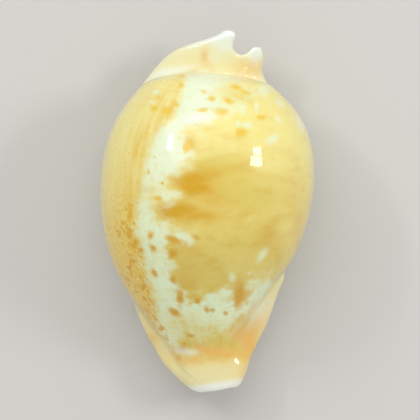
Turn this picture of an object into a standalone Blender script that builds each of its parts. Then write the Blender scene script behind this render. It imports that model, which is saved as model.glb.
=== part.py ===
# Armeniaca cowry shell, one solid, resting on its base. Metres, +Z up, +Y to the spire end.
import math

import bmesh
import bpy

mm = 0.001

# Driving dimensions, in millimetres
crownStation = 8.0
sideCloses = 31.0
spirePole = (-4.0, 34.5, 24.0)
neckPole = (0.4, -43.0, 10.4)
wallThickness = 2.3
baseThickness = 6.0
spireThickness = 5.0

collarCloses = 43.0
collarRound = 2.5
beakCloses = -42.6
beakRound = 2.1
beakTip = -43.4
tipNarrowsLeft = 1.4
tipNarrowsRight = 1.8
beakLean = 0.17
leanStarts = -34.0
leanLength = 9.0

lipRadius = 2.2
lipSunk = 0.2
lipDepth = 4.0
slitFlare = 3.0
slitShoulder = 1.5
slitPitch = 3.4

toothPitch = 2.8
toothWidth = 1.5
toothCrest = 0.6
toothRise = 0.55
toothRoot = -0.5
toothFade = (-0.15, 0.1)
toothDepth = 4.2
toothEnd = -40.0
labralReach = 2.4
columellarReach = 1.5

whorlMiddle = (10.8, 4.0, 14.0)
whorlHalf = (13.0, 24.0, 12.0)
pitMiddle = (5.0, 35.0, 18.6)
pitHalf = (3.4, 3.0, 2.4)
groundBlock = (80.0, 120.0, 10.0)

# How square the sections and the closed ends are: 2 is an ellipse, more is squarer
domeTopPower = 2.1
domeBasePower = 2.5
closeTopPower = 2.3
closeBasePower = 2.6
closeSidePower = 2.0
collarPower = 2.4
beakPower = 2.6

# Points around each ring of the lofts
domePoints = 44
hollowPoints = 28
platePoints = 30

shellColour = (0.86, 0.62, 0.30, 1.0)

# Outlines of the domed back: (station along Y, value)
domeLeft = [(32.0, -15.8), (27.8, -19.7), (23.8, -22.5), (15.8, -25.6), (6.0, -26.8), (-4.2, -26.1),
            (-12.2, -24.0), (-20.2, -20.1), (-28.2, -14.2), (-36.4, -8.0), (-44.0, -3.0)]
domeRight = [(32.0, 15.2), (27.8, 20.0), (23.8, 23.2), (15.8, 26.3), (9.0, 26.8), (-0.2, 25.8),
             (-8.2, 23.2), (-14.5, 20.0), (-20.2, 14.9), (-26.5, 10.7), (-31.2, 7.9), (-44.0, 4.0)]
domeTop = [(20.0, 43.2), (8.0, 43.2), (-4.0, 41.2), (-12.0, 36.8), (-20.0, 29.9), (-28.0, 22.0),
           (-34.0, 16.0), (-38.0, 12.4), (-44.0, 9.2)]
domeBase = [(12.0, -0.7), (-12.0, -0.7), (-22.0, 0.8), (-32.0, 4.2), (-44.0, 8.0)]
domeWidest = [(8.0, 17.5), (-8.0, 16.5), (-20.0, 13.5), (-32.0, 10.6), (-44.0, 10.0)]

# Outlines of the collar at the spire end, with a straight line where the notch is cut later
collarLeft = [(12.0, -15.0), (20.0, -17.6), (29.0, -17.4), (31.8, -16.1), (35.8, -12.9), (39.8, -8.25),
              (41.8, -3.6), (42.8, -0.4), (43.6, 1.7), (44.2, 2.9), (44.9, 3.7), (45.5, 4.6)]
collarRight = [(12.0, 14.0), (20.0, 16.0), (29.0, 15.6), (32.3, 14.8), (35.3, 13.8), (38.8, 14.1),
               (40.6, 13.5), (42.0, 11.5), (45.0, 7.6)]
collarTop = [(12.0, 14.0), (31.0, 14.6), (36.0, 15.4), (40.0, 17.0), (45.0, 19.6)]
collarBase = [(12.0, 1.4), (20.0, 1.4), (25.0, 2.2), (31.0, 4.8), (36.0, 7.4), (40.0, 10.0), (45.0, 13.4)]

# Outlines of the beak at the front end, with its two flanges
beakLeft = [(-8.0, -18.6), (-16.0, -19.6), (-22.2, -18.7), (-28.2, -16.6), (-36.2, -11.95),
            (-40.2, -7.9), (-43.4, -3.4)]
beakRight = [(-6.0, 17.0), (-12.0, 19.0), (-16.2, 19.5), (-20.2, 18.0), (-28.2, 15.1),
             (-34.2, 12.1), (-38.2, 10.7), (-41.6, 9.9), (-43.4, 9.0)]
beakTop = [(-8.0, 13.4), (-20.0, 12.2), (-30.0, 11.4), (-35.0, 12.0), (-37.5, 13.0), (-40.0, 13.7),
           (-43.4, 13.6)]
beakBase = [(-8.0, 1.6), (-20.0, 1.6), (-32.0, 4.2), (-43.4, 7.6)]

# The aperture: its middle line, half its width and the roof of the space above it
slitPath = [(47.0, 8.7), (38.8, 8.6), (35.0, 7.6), (30.0, 5.4), (22.0, 1.2), (12.0, -2.8), (0.0, -5.0),
            (-12.0, -5.2), (-22.0, -3.6), (-32.0, -0.8), (-40.0, 1.6), (-47.0, 3.4)]
slitHalf = [(47.0, 2.0), (38.0, 2.0), (33.0, 1.7), (15.0, 1.7), (0.0, 2.2), (-9.0, 3.0), (-47.0, 2.9)]
slitRoof = [(47.0, 16.0), (39.6, 13.0), (34.0, 11.5), (26.0, 10.0), (-24.0, 10.0), (-34.0, 9.8),
            (-47.0, 11.4)]

# The gap between the two prongs, seen from above: (X, Y)
notchOutline = [(5.9, 47.5), (6.0, 45.8), (6.9, 45.1), (7.3, 44.1), (6.9, 43.1), (6.5, 41.7), (6.7, 40.1),
                (7.5, 39.1), (8.4, 38.7), (9.5, 39.1), (10.3, 39.9), (10.9, 40.9), (11.6, 41.5), (12.6, 41.8),
                (14.0, 47.5)]
notchHeight = 30.0


def curveAt(points, station):
    """Read a smooth curve through the points, which run either way along their stations."""
    points = sorted(points)
    if station <= points[0][0]:
        return points[0][1]
    if station >= points[-1][0]:
        return points[-1][1]
    slopes = [(b[1] - a[1]) / (b[0] - a[0]) for a, b in zip(points, points[1:])]
    tangents = [slopes[0]]
    for before, after in zip(slopes, slopes[1:]):
        tangents.append(0.0 if before * after <= 0 else 2 * before * after / (before + after))
    tangents.append(slopes[-1])
    for index, (low, high) in enumerate(zip(points, points[1:])):
        if station <= high[0]:
            span = high[0] - low[0]
            t = (station - low[0]) / span
            return ((1 + 2 * t) * (1 - t) ** 2 * low[1] + t * (1 - t) ** 2 * span * tangents[index]
                    + t * t * (3 - 2 * t) * high[1] - t * t * (1 - t) * span * tangents[index + 1])


def rounding(distance, length, power):
    """Shrink from 1 to 0 as a superellipse does over the length."""
    share = min(max(distance / length, 0.0), 1.0)
    return (1 - share ** power) ** (1 / power)


def domeSection(station, inset=0.0):
    """The domed back across one station, or the hollow inside it where inset is the wall."""
    endInset = spireThickness if inset else 0.0
    reach = spirePole[1] - crownStation - endInset
    behind = station - crownStation
    close = rounding(behind, reach, closeTopPower)
    closeBase = rounding(behind, reach, closeBasePower)
    closeSide = rounding(station - sideCloses + endInset, spirePole[1] - sideCloses, closeSidePower)
    widest = spirePole[2] + (curveAt(domeWidest, station) - spirePole[2]) * close
    lift = baseThickness if inset else 0.0
    section = {"widest": widest, "basePower": domeBasePower, "topPower": domeTopPower, "lean": 0.0}
    section["top"] = widest + (curveAt(domeTop, station) - inset - widest) * close
    section["base"] = widest - (widest - curveAt(domeBase, station) - lift) * closeBase
    section["left"] = spirePole[0] + (curveAt(domeLeft, station) + inset - spirePole[0]) * closeSide
    section["right"] = spirePole[0] + (curveAt(domeRight, station) - inset - spirePole[0]) * closeSide
    return section


def plateSection(station, left, right, base, top, close, power):
    """A flat rounded section, thinned towards its closed end."""
    low, high = curveAt(base, station), curveAt(top, station)
    middle, thick = (low + high) / 2, (high - low) / 2 * close
    return {"left": curveAt(left, station), "right": curveAt(right, station), "base": middle - thick,
            "top": middle + thick, "widest": middle, "basePower": power, "topPower": power, "lean": 0.0}


def collarSection(station):
    close = rounding(station - collarCloses, collarRound, 2.0)
    return plateSection(station, collarLeft, collarRight, collarBase, collarTop, close, collarPower)


def beakSection(station):
    close = rounding(beakCloses - station, beakRound, 2.2)
    section = plateSection(station, beakLeft, beakRight, beakBase, beakTop, close, beakPower)
    section["lean"] = beakLean * min(max((leanStarts - station) / leanLength, 0.0), 1.0)
    if station < beakTip:
        section["left"] += (1 - close) * tipNarrowsLeft
        section["right"] -= (1 - close) * tipNarrowsRight
    return section


def underside(x, station):
    """Height of the lowest surface over a point of the base, held level past the rounded rims."""
    station = min(max(station, -42.0), 43.0)
    heights = []
    for section, inside in ((domeSection, station < 32.0), (collarSection, station > 16.0),
                            (beakSection, station < -8.0)):
        if inside:
            shape = section(station)
            middle = (shape["left"] + shape["right"]) / 2
            share = min(abs(x - middle) / ((shape["right"] - shape["left"]) / 2), 0.85)
            depth = (1 - share ** shape["basePower"]) ** (1 / shape["basePower"])
            heights.append(shape["widest"] - (shape["widest"] - shape["base"]) * depth)
    return max(min(heights), 0.0)


def ring(station, section, count):
    """One closed superellipse section, from its left edge over the top."""
    middle = (section["left"] + section["right"]) / 2
    half = (section["right"] - section["left"]) / 2
    points = []
    for step in range(count):
        angle = 2 * math.pi * step / count
        across, up = -math.cos(angle), math.sin(angle)
        power = section["topPower"] if up >= 0 else section["basePower"]
        height = section["top"] - section["widest"] if up >= 0 else section["widest"] - section["base"]
        x = middle + half * math.copysign(abs(across) ** (2 / power), across)
        z = section["widest"] + height * math.copysign(abs(up) ** (2 / power), up)
        points.append((x, station + section["lean"] * (x - middle), z))
    return points


def loft(name, rings, firstPole, lastPole, home):
    """Skin a run of equal rings and close both ends to a point."""
    count = len(rings[0])
    points = [point for section in rings for point in section] + [firstPole, lastPole]
    faces = []
    for row in range(len(rings) - 1):
        for step in range(count):
            a = row * count + step
            b = row * count + (step + 1) % count
            faces.append((a, b, b + count, a + count))
    first, last = len(points) - 2, len(points) - 1
    bottom = (len(rings) - 1) * count
    for step in range(count):
        after = (step + 1) % count
        faces.append((first, after, step))
        faces.append((last, bottom + step, bottom + after))
    return solid(name, points, faces, home)


def solid(name, points, faces, home):
    """A closed mesh object, given in millimetres, whose faces all point outwards."""
    mesh = bpy.data.meshes.new(name)
    mesh.from_pydata([(x * mm, y * mm, z * mm) for x, y, z in points], [], faces)
    shape = bmesh.new()
    shape.from_mesh(mesh)
    bmesh.ops.recalc_face_normals(shape, faces=shape.faces)
    shape.to_mesh(mesh)
    shape.free()
    mesh.shade_smooth()
    item = bpy.data.objects.new(name, mesh)
    home.objects.link(item)
    return item


def dome(home):
    """The domed back, from the spire end to the neck of the beak."""
    stations = [34.3, 33.9, 33.2, 32.2, 30.6, 28.4, 25.4, 21.6, 17.2, 12.4, 7.4, 2.4, -2.6, -7.4, -12.0,
                -16.2, -20.2, -24.0, -27.8, -31.6, -35.4, -39.2, -41.6]
    rings = [ring(station, domeSection(station), domePoints) for station in stations]
    return loft("dome", rings, spirePole, neckPole, home)


def hollow(home):
    """The space inside the body whorl."""
    stations = [29.2, 28.4, 26.8, 24.0, 20.2, 15.2, 9.6, 3.4, -2.8, -9.0, -15.0, -20.6, -25.6, -29.6]
    rings = [ring(station, domeSection(station, wallThickness), hollowPoints) for station in stations]
    return loft("hollow", rings, (-3.0, 29.5, 23.8), (-1.6, -31.6, 12.4), home)


def innerWhorl(home):
    """The inner turn of the shell, which bulges into the hollow beside the aperture."""
    bpy.ops.mesh.primitive_uv_sphere_add(segments=18, ring_count=12, radius=1.0)
    item = bpy.context.object
    item.name = "inner whorl"
    for point in item.data.vertices:
        point.co = (point.co.x, point.co.z, point.co.y)
    item.data.flip_normals()
    return stretched(item, whorlHalf, whorlMiddle, home)


def collar(home):
    """The spire end of the margin, with its two prongs left standing by the notch."""
    stations = (13.0, 17.0, 21.0, 24.6, 27.8, 30.6, 33.0, 35.2, 37.4, 39.4, 41.2, 42.6, 43.8, 44.7, 45.3)
    rings = [ring(station, collarSection(station), platePoints) for station in stations]
    item = loft("collar", rings, (0.0, 12.0, 8.0), (5.8, 45.6, 16.5), home)
    combine(item, prism("notch", notchOutline, 0.0, notchHeight, home), "DIFFERENCE")
    remesh = item.modifiers.new("even skin", "REMESH")
    remesh.mode = "VOXEL"
    remesh.voxel_size = 0.6 * mm
    smooth = item.modifiers.new("round edges", "SMOOTH")
    smooth.factor = 0.5
    smooth.iterations = 8
    thin = item.modifiers.new("fewer faces", "DECIMATE")
    thin.ratio = 0.085
    return item


def prism(name, outline, low, high, home):
    """An upright solid over a plan outline."""
    count = len(outline)
    points = [(x, y, low) for x, y in outline] + [(x, y, high) for x, y in outline]
    faces = [tuple(range(count)), tuple(range(count, 2 * count))]
    for step in range(count):
        after = (step + 1) % count
        faces.append((step, after, after + count, step + count))
    return solid(name, points, faces, home)


def beak(home):
    """The front end of the margin, with the flange on each side of the neck."""
    stations = (-7.0, -11.0, -15.0, -18.5, -22.0, -26.0, -30.0, -34.0, -37.6, -40.6, -42.8, -43.8, -44.5)
    rings = [ring(station, beakSection(station), platePoints) for station in stations]
    return loft("beak", rings, (0.0, -6.0, 7.4), (2.4, -44.9, 10.8), home)


def lipProfile(side, station, reach, depth):
    """Points of one lip from the base round into the slit, each with its outward direction."""
    centre, half = curveAt(slitPath, station), curveAt(slitHalf, station)
    outer = half + lipRadius
    height = underside(centre + side * outer, station)
    points = [((outer + reach, underside(centre + side * (outer + reach), station)), (0.0, -1.0))]
    for degrees in (12, 38, 64, 90):
        turn = math.radians(degrees)
        place = (half + lipRadius * (1 - math.sin(turn)), height + lipRadius * (1 - math.cos(turn)) - lipSunk)
        points.append((place, (-math.sin(turn), -math.cos(turn))))
    points.append(((half, height + depth), (-1.0, 0.0)))
    return [((centre + side * x, z), (side * across, up)) for (x, z), (across, up) in points]


def slit(home):
    """The aperture with its rounded lips, and the canal at each end of it."""
    rings = []
    stations = [47.0, 44.0, 41.0, 38.5, 36.0] + [33.0 - slitPitch * step for step in range(24)]
    for station in stations:
        sides = []
        for side in (-1, 1):
            lip = [place for place, way in lipProfile(side, station, 0.0, lipDepth)][1:]
            roof = max(curveAt(slitRoof, station), lip[-2][1] + 2.0)
            centre, half = curveAt(slitPath, station), curveAt(slitHalf, station)
            flare = (centre + side * (half + lipRadius), lip[0][1] - slitFlare)
            shoulder = (lip[-1][0], roof - slitShoulder)
            sides.append([flare] + lip[:-1] + [shoulder, (centre + side * half / 2, roof)])
        section = sides[0] + sides[1][::-1]
        rings.append([(x, station, z) for x, z in section])
    return loft("slit", rings, (8.7, stations[0] + 0.5, 14.0), (3.4, stations[-1] - 0.5, 9.0), home)


def teeth(home):
    """Short rounded ridges across both lips of the aperture."""
    points, faces = [], []
    for side, reach, station in ((-1, labralReach, 34.0), (1, columellarReach, 33.0)):
        while station > toothEnd:
            lip = lipProfile(side, station, reach, toothDepth)
            rises = (toothFade[0], toothRise, toothRise, toothFade[1])
            first = len(points)
            for (place, way), rise in zip((lip[0], lip[2], lip[4], lip[5]), rises):
                for shift, lift in ((-toothWidth / 2, toothRoot), (-toothCrest / 2, rise),
                                    (toothCrest / 2, rise), (toothWidth / 2, toothRoot)):
                    points.append((place[0] + way[0] * lift, station + shift, place[1] + way[1] * lift))
            for row in range(3):
                for step in range(4):
                    a = first + row * 4 + step
                    b = first + row * 4 + (step + 1) % 4
                    faces.append((a, b, b + 4, a + 4))
            faces.append(tuple(range(first, first + 4)))
            faces.append(tuple(range(first + 12, first + 16)))
            station -= toothPitch
    return solid("teeth", points, faces, home)


def spirePit(home):
    """The small sunken pit where the spire is buried, over the collar."""
    bpy.ops.mesh.primitive_ico_sphere_add(subdivisions=2, radius=1.0)
    item = bpy.context.object
    item.name = "spire pit"
    return stretched(item, pitHalf, pitMiddle, home)


def ground(home):
    """What lies under the resting plane, cut away to leave the flat rest."""
    bpy.ops.mesh.primitive_cube_add(size=1.0)
    item = bpy.context.object
    item.name = "ground"
    return stretched(item, groundBlock, (0.0, 0.0, -groundBlock[2] / 2), home)


def stretched(item, sizes, middle, home):
    """A plain round or square solid, stretched, placed and kept in one collection only."""
    for point in item.data.vertices:
        point.co = [part * size * mm for part, size in zip(point.co, sizes)]
    item.location = [part * mm for part in middle]
    for other in list(item.users_collection):
        other.objects.unlink(item)
    home.objects.link(item)
    return item


def combine(target, tool, how):
    """Cut with, or join on, another solid by a live Boolean."""
    step = target.modifiers.new(how.lower() + " " + tool.name, "BOOLEAN")
    step.operation = how
    step.object = tool
    step.solver = "EXACT"
    tool.hide_render = True
    tool.display_type = "WIRE"


def glossyShell():
    """Pale apricot porcelain."""
    material = bpy.data.materials.new("shell gloss")
    material.use_nodes = True
    surface = material.node_tree.nodes["Principled BSDF"]
    surface.inputs["Base Color"].default_value = shellColour
    surface.inputs["Roughness"].default_value = 0.18
    surface.inputs["Metallic"].default_value = 0.0
    return material


def build():
    for item in list(bpy.data.objects):
        bpy.data.objects.remove(item)
    parts = bpy.data.collections.new("armeniaca cowry")
    tools = bpy.data.collections.new("cutters")
    for group in (parts, tools):
        bpy.context.scene.collection.children.link(group)

    shell = dome(parts)
    shell.name = "shell"
    shell.data.materials.append(glossyShell())
    combine(shell, collar(tools), "UNION")
    combine(shell, beak(tools), "UNION")
    space = hollow(tools)
    combine(space, innerWhorl(tools), "DIFFERENCE")
    combine(shell, space, "DIFFERENCE")
    combine(shell, slit(tools), "DIFFERENCE")
    combine(shell, teeth(tools), "UNION")
    combine(shell, spirePit(tools), "DIFFERENCE")
    combine(shell, ground(tools), "DIFFERENCE")


build()
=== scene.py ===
import math

import bpy
import numpy as np
import openvdb
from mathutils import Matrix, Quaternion, Vector


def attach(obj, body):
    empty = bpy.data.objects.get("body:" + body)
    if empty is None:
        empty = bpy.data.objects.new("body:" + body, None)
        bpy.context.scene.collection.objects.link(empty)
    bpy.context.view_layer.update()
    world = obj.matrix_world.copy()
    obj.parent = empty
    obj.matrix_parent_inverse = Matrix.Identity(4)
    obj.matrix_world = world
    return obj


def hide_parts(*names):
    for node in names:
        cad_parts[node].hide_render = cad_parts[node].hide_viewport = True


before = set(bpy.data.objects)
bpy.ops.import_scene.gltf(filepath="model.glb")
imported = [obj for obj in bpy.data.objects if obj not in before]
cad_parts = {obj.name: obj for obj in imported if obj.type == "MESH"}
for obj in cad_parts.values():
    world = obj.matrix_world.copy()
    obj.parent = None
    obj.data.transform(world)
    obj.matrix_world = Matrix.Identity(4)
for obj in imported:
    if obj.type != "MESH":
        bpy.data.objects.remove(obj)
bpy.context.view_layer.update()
mm = 0.001
print("frame loaded")

# The shapes are worked out in millimetres and only become metres when a mesh is made.

# The block of space that the forms are blended in
block = {
    "low": (-30.0, -49.0, -4.0),
    "high": (30.0, 49.0, 46.0),
    "voxel": 0.4,
    "reachInVoxels": 13,
    "aroundForm": 360,
}

# Outlines and profiles are given as (station, value), and powers round a form off as a superellipse does.
back = {
    "crownStation": 8.0,
    "lastStation": -41.6,
    "spirePole": (-4.0, 34.5, 24.0),
    "neckPole": (0.4, -43.0, 10.4),
    "left": [(32.0, -15.8), (27.8, -19.7), (23.8, -22.5), (15.8, -25.6), (6.0, -26.8), (-4.2, -26.1),
             (-12.2, -24.0), (-20.2, -20.1), (-28.2, -14.2), (-36.4, -8.0), (-44.0, -3.0)],
    "right": [(32.0, 15.2), (27.8, 20.0), (23.8, 23.2), (15.8, 26.3), (9.0, 26.8), (-0.2, 25.8), (-8.2, 23.2),
              (-14.5, 20.0), (-20.2, 14.9), (-26.5, 10.7), (-31.2, 7.9), (-44.0, 4.0)],
    "top": [(40.0, 43.2), (8.0, 43.2), (-4.0, 41.2), (-12.0, 36.8), (-20.0, 29.9), (-28.0, 22.0),
            (-34.0, 16.2), (-38.0, 13.4), (-44.0, 11.4)],
    "base": [(40.0, -0.7), (-12.0, -0.7), (-22.0, 0.8), (-32.0, 4.2), (-44.0, 8.0)],
    "widest": [(40.0, 17.5), (8.0, 17.5), (-8.0, 16.5), (-20.0, 13.5), (-32.0, 10.6), (-44.0, 10.0)],
    "basePower": 2.5,
    "topPower": 2.1,
    "closingPower": 2.3,
    "closingPowerBelow": 2.6,
    "closingPowerBeside": 2.0,
    "ease": 2.4,
    "sideCloses": 31.0,
}

# The space inside: how thick the shell is around it, and where it ends
hollow = {
    "wall": 2.3,
    "floorWall": 6.0,
    "spireWall": 5.0,
    "stations": (29.2, -29.6),
    "poles": ((-3.0, 29.5, 23.8), (-1.6, -31.6, 12.4)),
    "whorlEdge": 1.5,
}

collar = {
    "left": [(12.0, -15.0), (20.0, -17.6), (29.0, -17.4), (31.8, -16.2), (35.8, -13.2), (39.8, -9.0),
             (41.8, -4.6), (42.8, -1.2), (43.6, 1.3), (44.2, 2.9), (44.9, 3.7), (45.5, 4.6)],
    "right": [(12.0, 14.0), (20.0, 16.0), (29.0, 15.6), (32.3, 14.8), (35.3, 13.8), (38.8, 14.1),
              (41.0, 13.5), (42.4, 11.5), (45.4, 7.6)],
    "top": [(12.0, 14.0), (31.0, 14.6), (36.0, 15.4), (40.0, 17.0), (45.0, 19.6)],
    "base": [(12.0, 1.4), (20.0, 1.4), (25.0, 2.2), (31.0, 4.8), (36.0, 7.4), (40.0, 10.0), (45.0, 13.4)],
    # The notch between the prongs, as its outline seen from above
    "notch": [(5.9, 47.5), (6.0, 45.8), (6.9, 45.1), (7.3, 44.1), (6.9, 43.1), (6.5, 41.7), (6.6, 40.5),
              (7.4, 39.7), (8.4, 39.3), (9.6, 39.7), (10.3, 40.3), (10.9, 41.1), (11.6, 41.5), (12.6, 41.8),
              (14.0, 47.5)],
    "power": 2.2,
    "stations": (13.0, 43.0),
    "sections": 110,
    "curl": 2.3,
    "closesOver": 2.5,
    "closingPower": 2.0,
    "poles": ((0.0, 12.0, 8.0), (5.8, 45.6, 16.5)),
    "notchEdge": 1.4,
    "joinsBack": 1.6,
    # The wider fillet under the collar, and the heights over which it begins
    "joinsBelow": 5.0,
    "below": (13.0, 8.0),
}

beak = {
    "left": [(-8.0, -18.6), (-16.0, -19.6), (-22.2, -18.7), (-28.2, -16.6), (-36.2, -11.95),
             (-40.2, -7.9), (-43.4, -3.4)],
    "right": [(-6.0, 17.0), (-12.0, 19.0), (-16.2, 19.5), (-20.2, 18.0), (-28.2, 15.1),
              (-34.2, 12.1), (-38.2, 10.7), (-41.6, 9.9), (-43.4, 9.0)],
    "top": [(-8.0, 13.4), (-20.0, 12.2), (-30.0, 11.4), (-35.0, 12.0), (-37.5, 13.0), (-40.0, 13.7),
            (-43.4, 13.6)],
    "base": [(-8.0, 1.6), (-20.0, 1.6), (-32.0, 4.2), (-43.4, 7.6)],
    "power": 2.6,
    "stations": (-7.0, -42.6),
    "sections": 130,
    "curl": -2.9,
    "closesOver": 3.0,
    "closingPower": 2.8,
    "poles": ((0.0, -6.0, 7.4), (1.8, -45.7, 10.8)),
    "lean": 0.22,
    "leans": (-34.0, -43.0),
    # How far the sides draw in past a station
    "narrows": -43.4,
    "tipLeft": 0.8,
    "tipRight": 1.8,
    "joinsBack": 1.4,
    # The wider fillet on the neck, and the stations and places across over which it begins
    "joinsNeck": 5.0,
    "neckAlong": (-27.0, -35.0),
    "neckAcross": (-9.0, -4.0),
}

aperture = {
    "path": [(47.0, 8.7), (38.8, 8.6), (35.0, 7.6), (30.0, 5.4), (22.0, 1.2), (12.0, -2.8), (0.0, -5.0),
             (-12.0, -5.2), (-22.0, -3.6), (-32.0, -0.8), (-40.0, 1.6), (-47.0, 3.4)],
    "half": [(47.0, 2.0), (38.0, 2.0), (33.0, 1.7), (15.0, 1.7), (0.0, 2.2), (-9.0, 3.0), (-47.0, 2.9)],
    "roof": [(47.0, 16.0), (39.6, 13.0), (34.0, 11.5), (26.0, 10.0), (-24.0, 10.0), (-34.0, 9.8),
             (-47.0, 11.4)],
    "roofEdge": 2.0,
    "lip": 3.4,
    "joinsHollow": 5.0,
    "innerEdge": 1.0,
    "restingEdge": 0.3,
    "whorl": {"middle": (10.8, 4.0, 14.0), "half": (13.0, 24.0, 12.0)},
    "pit": {"middle": (5.0, 35.0, 18.6), "half": (3.4, 3.0, 2.4)},
    "pitEdge": 1.4,
}


def throughPoints(points, station):
    # A curve through the points that never swings past them and runs on straight at both ends.
    stations, values = np.array(sorted(points)).T
    spans = np.diff(stations)
    slopes = np.diff(values) / spans
    before, after = slopes[:-1], slopes[1:]
    together = before * after > 0
    mean = 2 * before * after / np.where(together, before + after, 1.0)
    tangents = np.concatenate([slopes[:1], np.where(together, mean, 0.0), slopes[-1:]])
    past = np.minimum(station - stations[0], 0.0) * tangents[0]
    past = past + np.maximum(station - stations[-1], 0.0) * tangents[-1]
    station = np.clip(station, stations[0], stations[-1])
    cell = np.clip(np.searchsorted(stations, station, side="right") - 1, 0, len(spans) - 1)
    t = (station - stations[cell]) / spans[cell]
    return (past + (1 + 2 * t) * (1 - t) ** 2 * values[cell] + t * (1 - t) ** 2 * spans[cell] * tangents[cell]
            + t * t * (3 - 2 * t) * values[cell + 1] - t * t * (1 - t) * spans[cell] * tangents[cell + 1])


def curveAt(points, station, spread=0.5):
    # The same curve with its bends eased, as the mean over a short stretch of it.
    steps = np.linspace(-2.0, 2.0, 9)
    weights = np.exp(-steps ** 2 / 2)
    values = [weight * throughPoints(points, station + step * spread) for weight, step in zip(weights, steps)]
    return sum(values) / weights.sum()


def rounding(distance, length, power):
    # From 1 down to 0 over the length, as a superellipse does.
    share = np.clip(distance / length, 0.0, 1.0)
    return (1 - share ** power) ** (1 / power)


def blendShare(value, start, end):
    # 0 at the start and 1 at the end, level at both.
    share = np.clip((value - start) / (end - start), 0.0, 1.0)
    return share * share * (3 - 2 * share)


def smoothMin(one, other, width):
    fillet = np.maximum(width - np.abs(one - other), 0.0) / width
    return np.minimum(one, other) - fillet * fillet * width / 4


def smoothMax(one, other, width):
    return -smoothMin(-one, -other, width)


def backSection(station, inset=False):
    # The domed back across a station, or with inset the hollow inside it.
    def eased(name):
        return curveAt(back[name], station, back["ease"])

    poleX, poleY, poleZ = back["spirePole"]
    wall, floorWall, spireWall = (
        hollow[name] if inset else 0.0 for name in ("wall", "floorWall", "spireWall"))
    behind, reach = station - back["crownStation"], poleY - back["crownStation"] - spireWall
    close, closeBelow = (rounding(behind, reach, back[name]) for name in ("closingPower", "closingPowerBelow"))
    beside, reachBeside = station - back["sideCloses"] + spireWall, poleY - back["sideCloses"]
    closeBeside = rounding(beside, reachBeside, back["closingPowerBeside"])
    widest = poleZ + (eased("widest") - poleZ) * close
    return {
        "left": poleX + (eased("left") + wall - poleX) * closeBeside,
        "right": poleX + (eased("right") - wall - poleX) * closeBeside,
        "top": widest + (eased("top") - wall - widest) * close,
        "base": widest - (widest - eased("base") - floorWall) * closeBelow,
        "widest": widest,
        "powers": (back["topPower"], back["basePower"]),
        "lean": station * 0.0,
    }


def plateClosing(piece, station):
    # From 1 down to 0 past the last of the even stations.
    past = np.abs(station) - abs(piece["stations"][1])
    return rounding(past, piece["closesOver"], piece["closingPower"])


def plateSection(piece, station):
    # A flat rounded section of the collar or the beak, thinned where it closes.
    low, high = curveAt(piece["base"], station), curveAt(piece["top"], station)
    middle, thick = (low + high) / 2, (high - low) / 2 * plateClosing(piece, station)
    return {
        "left": curveAt(piece["left"], station),
        "right": curveAt(piece["right"], station),
        "top": middle + thick,
        "base": middle - thick,
        "widest": middle,
        "powers": (piece["power"], piece["power"]),
        "lean": station * 0.0,
    }


def beakSection(station):
    section = plateSection(beak, station)
    start, end = beak["leans"]
    section["lean"] = beak["lean"] * np.clip((station - start) / (end - start), 0.0, 1.0)
    tip = np.where(station < beak["narrows"], 1 - plateClosing(beak, station), 0.0)
    section["left"] = section["left"] + tip * beak["tipLeft"]
    section["right"] = section["right"] - tip * beak["tipRight"]
    return section


blockAxes = [np.arange(low, high + block["voxel"] / 2, block["voxel"])
             for low, high in zip(block["low"], block["high"])]
blockX, blockY, blockZ = np.meshgrid(*blockAxes, indexing="ij", sparse=True)


def distancesTo(points, faces):
    # Signed distance from every point of the block to a closed form, negative inside it.
    faces = np.array(faces, dtype=np.uint32)
    field = openvdb.FloatGrid.createLevelSetFromPolygons(
        (points - np.array(block["low"])).astype(np.float32),
        transform=openvdb.createLinearTransform(voxelSize=block["voxel"]), halfWidth=block["reachInVoxels"],
        **{"quads" if faces.shape[1] == 4 else "triangles": faces})
    distances = np.empty([len(axis) for axis in blockAxes], dtype=np.float32)
    field.copyToArray(distances)
    return distances


def skinDistances(stations, section, poles):
    # A run of superellipse sections, skinned and closed to a point at both ends.
    turn = np.linspace(0.0, 2 * math.pi, block["aroundForm"], endpoint=False)
    across, up = -np.cos(turn), np.sin(turn)
    left, right, top, base, widest, lean = (
        np.asarray(section[name])[:, None] for name in ("left", "right", "top", "base", "widest", "lean"))
    power = np.where(up >= 0, *section["powers"])
    height = np.where(up >= 0, top - widest, widest - base)
    x = (left + right) / 2 + (right - left) / 2 * np.sign(across) * np.abs(across) ** (2 / power)
    z = widest + height * np.sign(up) * np.abs(up) ** (2 / power)
    y = stations[:, None] + lean * (x - (left + right) / 2)
    rings = np.stack([x, y, z], axis=-1)
    count = rings.shape[1]
    # Each pole is a ring of equal points, so that every face has four corners.
    firstPole, lastPole = (np.tile(pole, (1, count, 1)) for pole in poles)
    rings = np.concatenate([firstPole, rings, lastPole])
    starts = np.arange(rings.shape[0] - 1)[:, None] * count
    first, after = starts + np.arange(count), starts + np.roll(np.arange(count), -1)
    faces = np.stack([first, after, after + count, first + count], axis=-1).reshape(-1, 4)
    return distancesTo(rings.reshape(-1, 3), faces)


def plateStations(piece):
    # Even stations, then ever closer ones where the piece rounds off.
    start, end = piece["stations"]
    curl = end + piece["curl"] * np.sin(np.linspace(0.0, 1.5, 24)[1:])
    return np.concatenate([np.linspace(start, end, piece["sections"]), curl])


def ballDistances(ball):
    # Close enough to the distance from a stretched ball where the ball is near.
    middle, half = ball["middle"], ball["half"]
    offsets = [(axis - centre) / size for axis, centre, size in zip((blockX, blockY, blockZ), middle, half)]
    spread = np.sqrt(sum(offset ** 2 for offset in offsets))
    slope = np.sqrt(sum((offset / size) ** 2 for offset, size in zip(offsets, half)))
    return (spread - 1) * spread / np.maximum(slope, 0.0001)


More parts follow.
